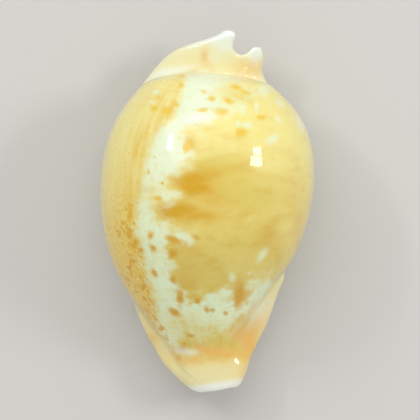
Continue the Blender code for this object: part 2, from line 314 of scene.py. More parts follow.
def prismDistances(outline):
    # An upright form over a plan outline, nearly as high as the block.
    outline = np.array(outline)
    count = len(outline)
    margin = 1.0
    low, high = block["low"][2] + margin, block["high"][2] - margin
    middle = outline.mean(axis=0)
    points = [(x, y, z) for z in (low, high) for x, y in outline] + [(*middle, low), (*middle, high)]
    faces = []
    for step in range(count):
        after = (step + 1) % count
        faces += [(step, after, after + count), (step, after + count, step + count)]
        faces += [(after, step, 2 * count), (step + count, after + count, 2 * count + 1)]
    return distancesTo(np.array(points), faces)


def shellDistances():
    # The whole shell as one blended form, and the forms that it is blended from.
    crown, pole = back["crownStation"], back["spirePole"]
    curl = np.sin(np.linspace(math.pi / 2, 0.0, 130)[1:])
    onward = np.linspace(crown, back["lastStation"], 170)[1:]
    stations = np.concatenate([crown + (pole[1] - crown) * curl, onward])
    domed = skinDistances(stations, backSection(stations), (pole, back["neckPole"]))
    stations = plateStations(collar)
    ringed = skinDistances(stations, plateSection(collar, stations), collar["poles"])
    ringed = smoothMax(ringed, -prismDistances(collar["notch"]), collar["notchEdge"])
    stations = plateStations(beak)
    beaked = skinDistances(stations, beakSection(stations), beak["poles"])

    onNeck = blendShare(blockY, *beak["neckAlong"]) * blendShare(blockX, *beak["neckAcross"])
    beakJoin = beak["joinsBack"] + (beak["joinsNeck"] - beak["joinsBack"]) * onNeck
    below = blendShare(blockZ, *collar["below"])
    collarJoin = collar["joinsBack"] + (collar["joinsBelow"] - collar["joinsBack"]) * below
    outside = smoothMin(smoothMin(domed, ringed, collarJoin), beaked, beakJoin)

    stations = np.linspace(*hollow["stations"], 180)
    space = skinDistances(stations, backSection(stations, inset=True), hollow["poles"])
    space = smoothMax(space, -ballDistances(aperture["whorl"]), hollow["whorlEdge"])

    alongX, half, roof = (
        curveAt(aperture[name], blockAxes[1])[None, :, None] for name in ("path", "half", "roof"))
    slot = smoothMax(np.abs(blockX - alongX) - half, blockZ - roof, aperture["roofEdge"])

    solid = smoothMax(outside, -slot, aperture["lip"])
    solid = smoothMax(solid, -smoothMin(slot, space, aperture["joinsHollow"]), aperture["innerEdge"])
    solid = smoothMax(solid, -ballDistances(aperture["pit"]), aperture["pitEdge"])
    solid = smoothMax(solid, -blockZ, aperture["restingEdge"])
    return solid, {"back": domed, "collar": ringed, "beak": beaked, "outside": outside}


def readAt(field, points):
    # Values of a field of the block between its voxels.
    place = (points - np.array(block["low"])) / block["voxel"]
    cell = np.clip(np.floor(place).astype(int), 0, np.array(field.shape) - 2)
    share = place - cell
    value = 0.0
    for corner in range(8):
        step = np.array([corner & 1, corner >> 1 & 1, corner >> 2 & 1])
        weight = np.prod(np.where(step, share, 1 - share), axis=1)
        value = value + weight * field[tuple((cell + step).T)]
    return value


def slopeAt(field, points):
    nudge = block["voxel"] * 0.5
    return np.stack([readAt(field, points + offset) - readAt(field, points - offset)
                     for offset in np.eye(3) * nudge], axis=1) / (2 * nudge)


def settled(field, points, freely=(1.0, 1.0, 1.0)):
    # The points after three steps to the zero level of a field, along the axes on which they move freely.
    for _ in range(3):
        slope = slopeAt(field, points) * freely
        steepness = np.maximum((slope ** 2).sum(axis=1), 0.2)
        points = points - (readAt(field, points) / steepness)[:, None] * slope
    return points


# Cell sizes of the finished mesh: finer where the teeth and prongs are
cells = {
    "x": [(-16.0, 0.64), (-12.0, 0.47), (14.0, 0.47), (18.0, 0.64)],
    "y": [(-40.0, 0.54), (40.0, 0.54)],
    "z": [(7.0, 0.46), (12.0, 0.64), (22.0, 1.1), (38.0, 1.1), (40.0, 0.75)],
}


def spacedAxis(low, high, sizes):
    # Places along one axis, with a cell size of their own between given stations.
    places = [low]
    while places[-1] < high:
        places.append(places[-1] + float(np.interp(places[-1], *zip(*sizes))))
    return np.array(places)


def resampled(field, axes):
    # The field on other axes, read between its voxels along one axis after another.
    for number, places in enumerate(axes):
        place = (places - block["low"][number]) / block["voxel"]
        cell = np.clip(np.floor(place).astype(int), 0, field.shape[number] - 2)
        shape = [1, 1, 1]
        shape[number] = len(places)
        share = np.clip(place - cell, 0.0, 1.0).reshape(shape)
        near, far = (np.take(field, cell + step, axis=number) for step in (0, 1))
        field = near * (1 - share) + far * share
    return field


def surfaceOf(field):
    # An even skin of four-cornered faces on the zero level of a field.
    margin, background = 0.5, 5.0
    axes = [spacedAxis(low + margin, high - margin, cells[name])
            for low, high, name in zip(block["low"], block["high"], "xyz")]
    grid = openvdb.FloatGrid(background)
    grid.copyFromArray(resampled(field, axes).astype(np.float32))
    points, faces = grid.convertToQuads(isovalue=0.0)
    points = [np.interp(points[:, number], np.arange(len(axis)), axis) for number, axis in enumerate(axes)]
    points = settled(field, np.stack(points, axis=1))
    one, two, three, four = (points[faces[:, corner]] for corner in range(4))
    normals = np.cross(three - one, four - two)
    if (normals * slopeAt(field, (one + two + three + four) / 4)).sum() < 0:
        faces = faces[:, ::-1]
    return points, faces


def meshObject(name, points, faces, edges=()):
    # A mesh from points in metres.
    mesh = bpy.data.meshes.new(name)
    mesh.from_pydata(points, edges, faces)
    mesh.update()
    item = bpy.data.objects.new(name, mesh)
    bpy.context.scene.collection.objects.link(item)
    return item


solid, forms = shellDistances()
print("forms blended")
skinPoints, skinFaces = surfaceOf(solid)
shell = meshObject("cowry_shell", skinPoints * mm, skinFaces)
shell.data.shade_smooth()
print("skin made:", len(skinFaces), "faces")

# The ribs across both lips of the aperture, in millimetres
teeth = {
    "pitch": 2.8,
    "width": 1.7,
    "rise": 0.5,
    "lips": [
        {"side": -1, "from": 34.0, "to": -39.0, "onBase": 4.6, "length": 8.6},
        {"side": 1, "from": 33.0, "to": -38.0, "onBase": 3.4, "length": 7.4},
    ],
    "pointsEach": 14,
    "roundness": 11,
    "lowest": 0.06,
}


def toothLines():
    # One line for each rib, laid on the shell from its base over the lip into the aperture.
    points, outward, edges = [], [], []
    heights = np.linspace(-1.0, 18.0, 191)
    for lip in teeth["lips"]:
        side = lip["side"]
        stations = np.arange(lip["from"], lip["to"], -teeth["pitch"])
        middle, half = (curveAt(aperture[name], stations) for name in ("path", "half"))
        x = middle + side * (half + lip["onBase"])
        columns = np.stack(np.broadcast_arrays(x[:, None], stations[:, None], heights), axis=-1)
        values = readAt(solid, columns.reshape(-1, 3)).reshape(len(x), -1)
        place = np.stack([x, stations, heights[np.argmax(values < 0, axis=1)]], axis=1)
        step = lip["length"] / (teeth["pointsEach"] - 1)
        rows = []
        for _ in range(teeth["pointsEach"]):
            place = settled(solid, place, freely=(1.0, 0.0, 1.0))
            slope = slopeAt(solid, place)
            slope /= np.linalg.norm(slope, axis=1)[:, None]
            rows.append((place, slope))
            onward = side * np.stack([slope[:, 2], slope[:, 1] * 0, -slope[:, 0]], axis=1)
            place = place + onward / np.linalg.norm(onward, axis=1)[:, None] * step
        for rib in range(len(stations)):
            first = len(points)
            points += [places[rib] for places, _ in rows]
            outward += [slopes[rib] for _, slopes in rows]
            edges += [(number, number + 1) for number in range(first, len(points) - 1)]
    item = meshObject("tooth lines", np.array(points) * mm, [], edges)
    layer = item.data.attributes.new("outward", "FLOAT_VECTOR", "POINT")
    layer.data.foreach_set("vector", np.array(outward, dtype=np.float32).ravel())
    return item


class NodeWriter:
    # Adds nodes to one tree. Every value may be a number or a socket.
    def __init__(self, tree):
        self.tree = tree

    def feed(self, socket, value):
        if isinstance(value, bpy.types.NodeSocket):
            self.tree.links.new(value, socket)
        else:
            socket.default_value = value

    def node(self, kind, inputs=(), **settings):
        # A node with its settings, whose inputs are given by name or number.
        item = self.tree.nodes.new(kind)
        for name, value in settings.items():
            setattr(item, name, value)
        for name, value in dict(inputs).items():
            self.feed(item.inputs[name], value)
        return item

    def math(self, operation, *values):
        return self.node("ShaderNodeMath", dict(enumerate(values)), operation=operation).outputs[0]

    def vector(self, operation, inputs):
        return self.node("ShaderNodeVectorMath", inputs, operation=operation).outputs["Vector"]

    def times(self, first, *others):
        for value in others:
            first = self.math("MULTIPLY", first, value)
        return first

    def plus(self, one, *others):
        for value in others:
            one = self.math("ADD", one, value)
        return one

    def minus(self, one, other):
        return self.math("SUBTRACT", one, other)

    def largest(self, one, *others):
        for value in others:
            one = self.math("MAXIMUM", one, value)
        return one

    def gain(self, value, factor, offset):
        return self.math("MULTIPLY_ADD", value, factor, offset)

    def between(self, share, low, high):
        # From low where the share is 0 to high where it is 1
        return self.gain(share, high - low, low)

    def clamped(self, value):
        return self.node("ShaderNodeClamp", {"Value": value}).outputs[0]

    def soft(self, value, start, end):
        # 0 at the start and 1 at the end, level at both
        inputs = {"Value": value, "From Min": start, "From Max": end}
        return self.node("ShaderNodeMapRange", inputs, interpolation_type="SMOOTHSTEP").outputs["Result"]

    def mix(self, share, one, other):
        # From one colour to the other, each a socket or a name from the glaze.
        item = self.node("ShaderNodeMix", {0: share}, data_type="RGBA")
        for number, value in ((6, one), (7, other)):
            self.feed(item.inputs[number], seen(glaze[value]) if isinstance(value, str) else value)
        return item.outputs[2]

    def noise(self, position, scale, detail, roughness):
        inputs = {"Vector": position, "Scale": scale, "Detail": detail, "Roughness": roughness}
        return self.node("ShaderNodeTexNoise", inputs).outputs[0]

    def read(self, name):
        return self.node("ShaderNodeAttribute", attribute_name=name).outputs["Fac"]

    def use(self, name, **inputs):
        return self.node("ShaderNodeGroup", node_tree=groups[name], inputs=inputs).outputs[0]

    def finished(self, result):
        self.tree.links.new(result, self.tree.nodes.new("NodeGroupOutput").inputs[0])
        return self.tree


def newGroup(name, treeKind, inputs, outputs):
    # A node group with named sockets. Returns its writer and what it is given.
    tree = bpy.data.node_groups.new(name, treeKind)
    for way, sockets in (("INPUT", inputs), ("OUTPUT", outputs)):
        for socket, kind in sockets.items():
            tree.interface.new_socket(socket, in_out=way, socket_type="NodeSocket" + kind)
    return NodeWriter(tree), tree.nodes.new("NodeGroupInput").outputs


def toothTree():
    # Ribs on the given lines, joined to the shell.
    write, given = newGroup("shell teeth", "GeometryNodeTree", {
        "Geometry": "Geometry", "Tooth lines": "Object", "Tooth width": "Float", "Tooth rise": "Float",
        "Roundness": "Int", "Lowest": "Float", "Tooth material": "Material"}, {"Geometry": "Geometry"})

    def placed(geometry, **inputs):
        return write.node("GeometryNodeSetPosition", {"Geometry": geometry, **inputs}).outputs[0]

    def named(name, kind):
        found = write.node("GeometryNodeInputNamedAttribute", {"Name": name}, data_type=kind)
        return found.outputs["Attribute"]

    lines = write.node("GeometryNodeObjectInfo", {"Object": given["Tooth lines"]}).outputs["Geometry"]
    curves = write.node("GeometryNodeMeshToCurve", {"Mesh": lines}).outputs["Curve"]
    # Each rib swells from nothing at one end and fades out again at the other.
    along = write.node("GeometryNodeSplineParameter").outputs["Factor"]
    fromMiddle = write.math("ABSOLUTE", write.gain(along, 2.0, -1.0))
    swell = write.math("SQRT", write.minus(1.02, write.math("POWER", fromMiddle, 3.0)))
    radius = write.times(given["Tooth width"], 0.5, swell)
    sunk = write.minus(write.times(given["Tooth rise"], swell), radius)
    laid = placed(curves, Offset=write.vector("SCALE", {0: named("outward", "FLOAT_VECTOR"), "Scale": sunk}))
    ring = write.node("GeometryNodeCurvePrimitiveCircle", {"Resolution": given["Roundness"], "Radius": 1.0})
    ribs = write.node("GeometryNodeCurveToMesh", {
        "Curve": laid, "Profile Curve": ring.outputs[0], "Scale": radius, "Fill Caps": True})
    smooth = write.node("GeometryNodeSetShadeSmooth", {"Geometry": ribs.outputs["Mesh"]})
    marked = write.node("GeometryNodeStoreNamedAttribute",
                        {"Geometry": smooth.outputs[0], "Name": "tooth", "Value": 1.0}, data_type="FLOAT")
    # Nothing of a rib reaches below the plane that the shell rests on.
    position = write.node("GeometryNodeInputPosition").outputs[0]
    x, y, z = write.node("ShaderNodeSeparateXYZ", {0: position}).outputs
    lifted = write.node("ShaderNodeCombineXYZ", {0: x, 1: y, 2: write.largest(z, given["Lowest"])})
    joined = write.node("GeometryNodeJoinGeometry")
    for geometry in (placed(marked.outputs[0], Position=lifted.outputs[0]), given["Geometry"]):
        write.tree.links.new(geometry, joined.inputs[0])
    real = write.node("GeometryNodeRealizeInstances", {"Geometry": joined.outputs[0]})
    chosen = write.node("FunctionNodeCompare", {0: named("tooth", "FLOAT"), 1: 0.5}, operation="GREATER_THAN")
    painted = write.node("GeometryNodeSetMaterial", {
        "Geometry": real.outputs[0], "Selection": chosen.outputs[0], "Material": given["Tooth material"]})
    return write.finished(painted.outputs[0])


def withTeeth(item, material):
    # The shell and its ribs as one plain mesh.
    lines = toothLines()
    tree = toothTree()
    modifier = item.modifiers.new("teeth", "NODES")
    modifier.node_group = tree
    values = {"Tooth lines": lines, "Tooth width": teeth["width"] * mm, "Tooth rise": teeth["rise"] * mm,
              "Roundness": teeth["roundness"], "Lowest": teeth["lowest"] * mm, "Tooth material": material}
    for socket in tree.interface.items_tree:
        if socket.name in values:
            modifier[socket.identifier] = values[socket.name]
    graph = bpy.context.evaluated_depsgraph_get()
    plain = bpy.data.meshes.new_from_object(
        item.evaluated_get(graph), preserve_all_data_layers=True, depsgraph=graph)
    item.modifiers.clear()
    item.data = plain
    bpy.data.objects.remove(lines)


# Where the markings lie, seen from above. Outlines and curves are in millimetres.
markings = {
    # The height of the eye that the places were measured from, and the height that they were measured at
    "seenFrom": 1200.0,
    "measuredAt": 16.0,
    # The radius at which the back is laid flat
    "flatRadius": 24.0,
    "paleBand": [
        (-5.3, 34.8), (-6.6, 30.3), (-7.6, 26.8), (-8.3, 24), (-9.6, 22.8), (-11.8, 21), (-13.6, 17.8),
        (-14.6, 15.3), (-15.3, 12.8), (-16.1, 10.3), (-16.5, 7.8), (-16.3, 5.8), (-16.8, 3.8), (-17.6, 0.3),
        (-18, -2), (-18.1, -5), (-17.1, -7.5), (-16.3, -10.7), (-16.3, -12.7), (-15.5, -15.5), (-15.1, -17.7),
        (-13.7, -19.7), (-13.2, -22.2), (-13.3, -24.7), (-12.6, -26.7), (-13.6, -28.7), (-11.8, -31.2),
        (-9.8, -33.5), (-7.8, -35.2), (-6.8, -33.2), (-4.8, -30.7), (-2.8, -32.5), (-0.8, -33), (1.7, -31.5),
        (4.4, -30), (7.2, -28.5), (8.9, -26.2), (11.2, -23.7), (13.7, -21.5), (16.2, -18.7), (15.2, -17.2),
        (12.7, -16.7), (10.7, -18.2), (9.4, -20.2), (8.7, -23.5), (7.4, -24.5), (6.7, -22.2), (5.9, -20),
        (4.7, -19.7), (3.2, -20.5), (0.7, -21), (-1.1, -21.7), (-2.8, -22.5), (-4.8, -20.2), (-6.8, -18.2),
        (-8.8, -17.5), (-9.1, -12.7), (-9.8, -11.2), (-9.8, -7.2), (-7.3, -7.7), (-4.3, -7.5), (-4.8, -6),
        (-7.8, -4.5), (-10.8, -3.2), (-12.9, -2.2), (-13.1, 0.3), (-12.4, 1.5), (-9.3, 1.3), (-6.1, 2),
        (-7.3, 3.5), (-9.3, 4.8), (-10.6, 6), (-9.3, 7.3), (-6.8, 8.3), (-6.3, 11.3), (-3.8, 12.3),
        (-2.8, 13.3), (-4.3, 14.8), (-4.8, 16.5), (-5.1, 18.5), (-6.1, 20), (-4.3, 20.8), (-1.8, 20.8),
        (0.7, 21), (1.9, 22.5), (4.2, 23.8), (7.2, 25.3), (10.2, 26.8), (12.7, 28.3), (15.2, 29.8),
        (16.2, 31.8), (13.7, 33.8), (9.4, 34.8), (5.2, 35.3), (-0.6, 35.8),
    ],
    # The right edge of the speckled belt: (station, X)
    "beltEdge": [
        (37.8, -4.3), (34.3, -5.3), (30.3, -6.6), (26.8, -7.6), (23.5, -8.8), (21, -11.8), (17.8, -13.6),
        (15.3, -14.6), (12.8, -15.3), (10.3, -16.1), (6.5, -16.5), (3.8, -16.8), (0.3, -17.6), (-2, -18),
        (-5, -18.1), (-7.5, -17.1), (-10.7, -16.3), (-12.7, -16.3), (-15.5, -15.5), (-17.7, -15.1),
        (-19.7, -13.7), (-22.2, -13.2), (-26, -12.6), (-29.2, -11.3), (-31.7, -9.3), (-35.2, -7.3),
        (-37.7, -5.8),
    ],
    # The crease beside the left flange, from the belt down to the tip: (station, X)
    "flangeCrease": [
        (-25.6, -16.8), (-29.5, -13.4), (-32.9, -10.5), (-37.9, -7.7), (-40.6, -5), (-42.9, -2.3),
    ],
    # Orange spots: middle, half sizes and turn in degrees
    "spots": [
        (-1.1, 25.3, 1.25, 0.5, 8), (3.9, 24.7, 1.38, 0.75, 5), (1.2, 28.2, 0.88, 0.62, 0),
        (5.3, 27.6, 1, 0.62, -20), (7.2, 31, 1.12, 0.5, -10), (9.8, 29.6, 1.25, 0.38, -20),
        (-0.9, 29.9, 0.62, 0.5, 0), (8.4, 19.6, 1.5, 1, 0), (13.4, 23.4, 1, 0.5, 0),
        (-11.2, 7, 0.38, 0.38, 0), (-12.3, 3.2, 0.88, 0.62, -10), (-14.7, 9.8, 0.25, 0.62, 0),
        (-13.3, 13.7, 0.25, 0.38, 0), (-8.5, -7.1, 1.6, 0.85, -25), (-8.6, -10.3, 1.05, 1.15, -40),
        (-13.5, -9.2, 0.62, 0.88, 30), (-14.2, -6.2, 0.62, 0.75, -30), (-13.3, -15.4, 0.5, 1.12, 25),
        (-8.5, -17.2, 0.62, 0.88, 10), (-6.8, -21.4, 0.8, 1.9, 4), (-2.5, -22.5, 0.65, 0.7, 0),
        (-0.1, -24.6, 0.6, 0.7, 0), (1.3, -24.7, 0.6, 0.5, 10), (4.5, -25.5, 0.5, 0.5, 0),
        (-8.3, -25.2, 1.38, 0.75, -30), (-11.5, -29.3, 0.75, 0.5, 0), (-4.2, -31.1, 0.88, 0.38, -10),
        (-5.8, -33.2, 0.5, 0.5, 0), (-6.3, -34.5, 0.62, 0.75, 30), (-7.2, -36.8, 0.62, 0.75, 0),
        (-2.7, -6.5, 0.88, 0.5, -20), (7.9, -21.2, 1.12, 2.75, -10), (-10.3, 25.1, 0.88, 1, 45),
        (-13.3, 25.7, 0.88, 0.75, 0), (-7.8, 26.7, 0.62, 0.5, 0), (-12.2, 28.4, 0.5, 0.38, 0),
        (-6.5, 31.5, 0.62, 0.5, 0), (-6.3, 33.9, 0.62, 0.5, 0), (-5, 16.4, 0.9, 1.5, -15),
        (-19.3, -0.7, 0.5, 0.88, 10), (-19.6, -5.5, 0.62, 1.25, 10), (-18.4, -8.6, 0.62, 0.88, 0),
        (-16.6, -9.7, 0.5, 0.62, 0), (-17.8, -7.7, 0.5, 0.62, 0), (-0.7, 38.5, 0.75, 1, -30),
        (8.9, -31.2, 1.5, 0.75, -40), (5, -36, 1.12, 0.62, 0), (2.6, -35.5, 1, 0.62, -15),
        (-0.1, -34.9, 0.75, 0.5, 0), (-3.4, -37.6, 1.12, 0.5, 0), (-13.2, -31.4, 0.62, 1, -50),
    ],
    # Pale marks, given as the spots are
    "marks": [
        (-3.2, 22.9, 3.2, 1.4, 8), (12.3, 26.1, 0.75, 1.5, 0), (17.7, 23, 0.62, 1.25, 35),
        (10, 21.5, 1.75, 1, 0), (16.3, 18, 2.25, 1.25, 30), (23.3, 22.1, 1.1, 2.7, 20),
        (14.2, 30.3, 1.75, 1.5, 0), (18.2, 27, 1.5, 0.9, -40), (13.7, -11, 1, 2.5, -35),
        (6.2, -16.5, 1, 1.38, 0), (14.9, -17.5, 0.88, 0.62, 0), (-12.8, 29.8, 1.25, 0.75, 15),
        (-13.8, 27.3, 0.75, 0.5, 0), (7.7, 21.8, 0.62, 1, 0), (-18.8, -8, 0.38, 0.38, 0),
        (10.4, -15.5, 0.5, 0.25, 0), (-3.1, -35.2, 2.25, 0.88, 0),
    ],
    # Soft clouds: middle, half sizes and turn as above, and how strong each is
    "ochre": [
        (-3.6, 6.5, 4.8, 2.6, 0, 1), (-4.6, 5.6, 2.4, 1.6, 0, 0.35), (-2, 9.6, 4.6, 2, 10, 0.6),
        (-7, -0.4, 5.2, 2.2, -6, 0.9), (-10.2, -0.3, 2.4, 1.7, 0, 0.8), (0.5, 1, 7, 5.5, 0, 0.5),
        (7.5, 11.3, 7, 1.3, 20, 0.35), (17, 8.3, 6, 1.2, -8, 0.3), (3, -13, 9, 5, 0, 0.1),
        (-5.5, -8.5, 3, 1.6, -20, 0.5), (-4.5, -13.5, 4, 5, 0, 0.2), (-4.9, 16.4, 1.7, 2.2, -20, 0.9),
        (7.9, -21.6, 2.2, 3.2, -10, 0.45), (16.5, -6, 6, 5, 0, 0.45), (-6.5, -18.5, 2.6, 3, 0, 0.3),
        (-9.6, 25.3, 2.6, 1.3, 10, 0.55), (-13, 22, 3.4, 3, 30, 0.3), (22.5, 0, 3.4, 12, 6, 0.25),
        (-17.5, 12, 3, 9, -12, 0.25),
    ],
    "warm": [
        (2.5, 11, 9, 7.5, 0, 0.9), (9, 2, 13, 7, 0, 0.6), (15, 4, 8, 6, 0, 0.4), (8.6, 29, 7, 2.4, -15, 0.4),
    ],
    "light": [
        (19, 24, 7, 8, 30, 0.75), (20, 14, 5.5, 7, 0, 0.4), (9, 17.5, 8, 2.4, 15, 0.3),
        (12.6, -11.6, 1.8, 3.2, -30, 0.3), (15, -19, 2.6, 3, -45, 0.5), (13.8, 17.5, 1.8, 1.2, 30, 0.4),
        (22.5, 18.5, 1.6, 4, 12, 0.5), (20, -4.5, 3, 6, 0, 0.45), (7.5, -14, 3.4, 4, 0, 0.25),
    ],
    "thin": [
        (12, 30.5, 7.5, 4.5, -25, 0.8), (5.5, 30, 4.5, 3.4, 0, 0.6), (-13.8, 3.5, 2.2, 4, 0, 0.5),
        (3, 24.5, 3, 1.4, 0, 0.25), (-2.5, -29, 6, 2.4, 0, 0.45), (1.5, -31.4, 8, 2.2, -12, 0.5),
        (-8, -25.5, 3, 3, 0, 0.3), (-13.6, -9, 2, 4, 0, 0.2),
    ],
    "blush": [
        (8.3, -31, 2.8, 1.6, -20, 1), (4.6, -35.8, 3.4, 1.8, 0, 1), (-0.4, -34.6, 3.2, 1.3, 0, 0.8),
        (-3.6, -37, 3, 1.4, 10, 0.8), (-14.2, -32.6, 1.4, 2.6, 30, 0.6), (12.2, -28.6, 2.4, 4.2, -30, 0.7),
        (10.8, -34, 2, 2.2, -30, 0.5), (9.4, -38, 1.7, 4.5, -14, 0.55), (-7, -33.5, 1.6, 2, 30, 0.45),
        (-0.7, 38.7, 1, 2.8, -12, 0.45), (0.6, 36.4, 0.9, 1.6, 20, 0.4), (-2, 36.6, 3, 2.6, 0, 0.12),
        (11, 35.8, 4, 2.2, 8, 0.85), (-3, 34.9, 1.4, 0.9, 0, 0.4), (-9.5, -36.6, 2, 1.2, -40, 0.3),
    ],
    "frost": [
        (-7.4, 35.3, 4.8, 0.9, 12, 0.7), (-6, -35, 2.6, 0.9, -10, 0.5), (4.8, 42.6, 3, 2.6, 60, 1.2),
        (-11.8, 34.4, 3.6, 0.7, 24, 0.5), (12, 39.6, 1.8, 2.4, 0, 1.2), (-1.2, 34.6, 1.6, 0.8, 0, 0.5),
        (-3, 22.9, 3, 1.3, 8, 0.5), (-1.8, 29, 2.4, 4, 0, 0.25), (1.4, 38.4, 1.8, 1.6, 0, 0.3),
        (13, -24.6, 2.4, 4, -45, 0.4),
    ],
}


def planDistance(outline, x, y):
    # Distance to a plan outline, positive inside it.
    outline = np.array(outline)
    distance, inside = np.full(x.shape, 100.0), np.zeros(x.shape, dtype=bool)
    for (startX, startY), (endX, endY) in zip(outline, np.roll(outline, -1, axis=0)):
        runX, runY = endX - startX, endY - startY
        along = np.clip(((x - startX) * runX + (y - startY) * runY) / (runX ** 2 + runY ** 2), 0.0, 1.0)
        distance = np.minimum(distance, np.hypot(x - startX - along * runX, y - startY - along * runY))
        if runY:
            inside ^= ((startY > y) != (endY > y)) & (x < startX + (y - startY) * runX / runY)
    return np.where(inside, distance, -distance)


def spotStrength(spot, x, y):
    # 1 in the middle of a spot and about a third on its edge.
    turn = math.radians(spot[4])
    offX, offY = x - spot[0], y - spot[1]
    along = (offX * math.cos(turn) + offY * math.sin(turn)) / spot[2]
    across = (offY * math.cos(turn) - offX * math.sin(turn)) / spot[3]
    return np.exp(-along ** 2 - across ** 2)


def storeValues(item, name, values):
    layer = item.data.attributes.new(name, "FLOAT", "POINT")
    layer.data.foreach_set("value", np.asarray(values, dtype=np.float32))


def markShell(item, places):
    # Values on the skin that the glaze takes its colours from.
    x, y, z = places.T
    outward = slopeAt(solid, places)
    outward /= np.maximum(np.linalg.norm(outward, axis=1), 0.001)[:, None]
    section = backSection(y)
    middle, widest = (section["left"] + section["right"]) / 2, np.clip(section["widest"], 0.0, 20.0)
    inBack = readAt(forms["back"], places)
    # The camera sees the higher parts of the back a little further out, and the markings were measured there.
    spread = markings["seenFrom"] / (markings["seenFrom"] + markings["measuredAt"] - z)
    seenX, seenY = x * spread, y * spread
    values = {
        "tooth": np.zeros(len(places)),
        "upper": blendShare(outward[:, 2], -0.75, 0.1),
        "level": blendShare(outward[:, 2], -0.1, 0.3),
        "paleEdge": planDistance(markings["paleBand"], seenX, seenY),
        "beltEdge": curveAt(markings["beltEdge"], seenY) - seenX,
        "flangeCrease": x - curveAt(markings["flangeCrease"], y),
        # The distances are cut off a few millimetres out, so each end has its edge only on its own half.
        "collarEdge": np.where(y > 0, inBack - readAt(forms["collar"], places), -5.0),
        "beakEdge": np.where(y < 0, inBack - readAt(forms["beak"], places), -5.0),
        "depthInside": -readAt(forms["outside"], places),
        "aroundBack": np.arctan2(x - middle, z - widest) * markings["flatRadius"],
    }
    for name in ("spots", "marks"):
        values[name] = np.max([spotStrength(spot, seenX, seenY) for spot in markings[name]], axis=0)
    for name in ("ochre", "warm", "light", "thin", "blush", "frost"):
        values[name] = sum(cloud[5] * spotStrength(cloud, seenX, seenY) for cloud in markings[name])
    for name, strengths in values.items():
        storeValues(item, name, strengths)


markShell(shell, skinPoints)
print("markings placed")

# Colours as they are seen, and the finish of the glaze
glaze = {
    "pale": (0.940, 0.985, 0.850),
    "paleFront": (0.925, 0.985, 0.825),
    "yellow": (0.980, 0.925, 0.580),
    "honey": (0.898, 0.812, 0.405),
    "ochre": (0.860, 0.660, 0.090),
    "belt": (0.970, 0.925, 0.600),
    "beltFront": (0.925, 0.815, 0.390),
    "beltStreak": (0.935, 0.750, 0.235),
    "speck": (0.860, 0.650, 0.110),
    "speckSpire": (0.955, 0.810, 0.310),
    "blush": (0.950, 0.755, 0.400),
    "cream": (0.970, 0.945, 0.760),
    "creamFront": (0.940, 0.885, 0.650),
    # Painted shade: the greyer green laid into the creases where shade falls
    "creaseShade": (0.790, 0.820, 0.600),
    "rim": (0.970, 0.995, 0.965),
    "base": (0.960, 0.930, 0.820),
    "tooth": (0.985, 0.965, 0.900),
    "inside": (0.900, 0.840, 0.700),
    "roughness": 0.3,
    "sheenUnderCoat": 0.12,
    "coat": 1.0,
    "coatRoughness": 0.04,
    "bumpScale": 0.12,
    "bumpStrength": 0.15,
    "bumpDepth": 0.3,
}

# How the markings are drawn. Sizes and stations are in millimetres.
pattern = {
    # Cloudy variation: its size, contrast and fineness
    "clouds": (6.0, 1.8, 0.55),
    "grain": (1.5, 1.4, 0.55),
    "strokes": (3.2, 2.4, 0.45),
    "wideStreaks": (2.6, 1.8, 0.55),
    "fineStreaks": (1.3, 2.0, 0.55),
    "hairLines": (0.8, 2.4, 0.55),
    "speckTone": (2.6, 2.2, 0.55),
    "spotTone": (3.2, 2.2, 0.55),
    "toothStain": (2.5, 1.4, 0.5),
    # The scale of the flat layout across and along the shell: a small one draws the pattern out that way
    "strokesDrawn": (0.5, 1.0),
    "wideDrawn": (1.0, 0.22),
    "fineDrawn": (1.0, 0.12),
    "hairDrawn": (1.0, 0.1),
    "specksDrawn": (1.1, 0.82, 1.0),
    "speckTurn": -28.0,
    "speckCell": 0.95,
    "paleSpeckCell": 1.1,
    "paleSpecksMoved": (37.0, 11.0, 5.0),
    # Edges that wander: how soft they are, how far they wander, and over what size
    "beltEdge": (1.3, 2.6, 2.6),
    "paleEdge": (2.0, 3.0, 2.4),
    "collarEdge": (0.35, 0.3, 2.0),
    "beakEdge": (0.45, 0.5, 2.0),
    "baseEdge": (4.0, 5.0, 5.0),
    # Stations at which something begins and is complete
    "atSpire": (28.5, 33.0),
    "frontward": (26.0, -14.0),
    "beltFront": (10.0, -6.0),
    "beltDarkens": (6.0, -8.0),
    "creamDarkens": (0.0, -30.0),
    "flangeBegins": (-30.0, -33.0),
    "beakFades": (-35.5, -30.0),
    "tip": (-33.5, -39.0),
    "collarRim": (39.8, 43.8),
    "beakRim": (42.3, 44.4),
    "beakRimLean": 0.15,
    # Painted shade in the creases: where each lies off its edge, its reach, its strength and where it fades
    # in, along X or Y
    "creaseShades": {
        "collarEdge": (0.5, 1.2, 1.5, [("X", 5.0, -5.0)]),
        "beakEdge": (0.1, 0.75, 1.0, [("Y", -33.5, -28.0)]),
        "flangeCrease": (0.0, 0.8, 0.8, [("Y", -43.4, -41.0), ("Y", -28.0, -32.0)]),
    },
}


def seen(colour):
    # A colour as the eye sees it, in the linear values that shaders take.
    linear = [part / 12.92 if part <= 0.04045 else ((part + 0.055) / 1.055) ** 2.4 for part in colour]
    return (*linear, 1.0)


def waverGroup():
    # A boundary that wanders: a distance in, a mask out.
    write, given = newGroup("wandering edge", "ShaderNodeTree", {
        "Position": "Vector", "Distance": "Float", "Soft": "Float", "Wander": "Float", "Size": "Float"},
        {"Mask": "Float"})
    noise = write.noise(given["Position"], write.math("DIVIDE", 1.0, given["Size"]), 3.0, 0.55)
    shift = write.times(write.minus(noise, 0.5), given["Wander"])
    moved = write.plus(given["Distance"], shift)
    return write.finished(write.soft(moved, write.times(given["Soft"], -1.0), given["Soft"]))


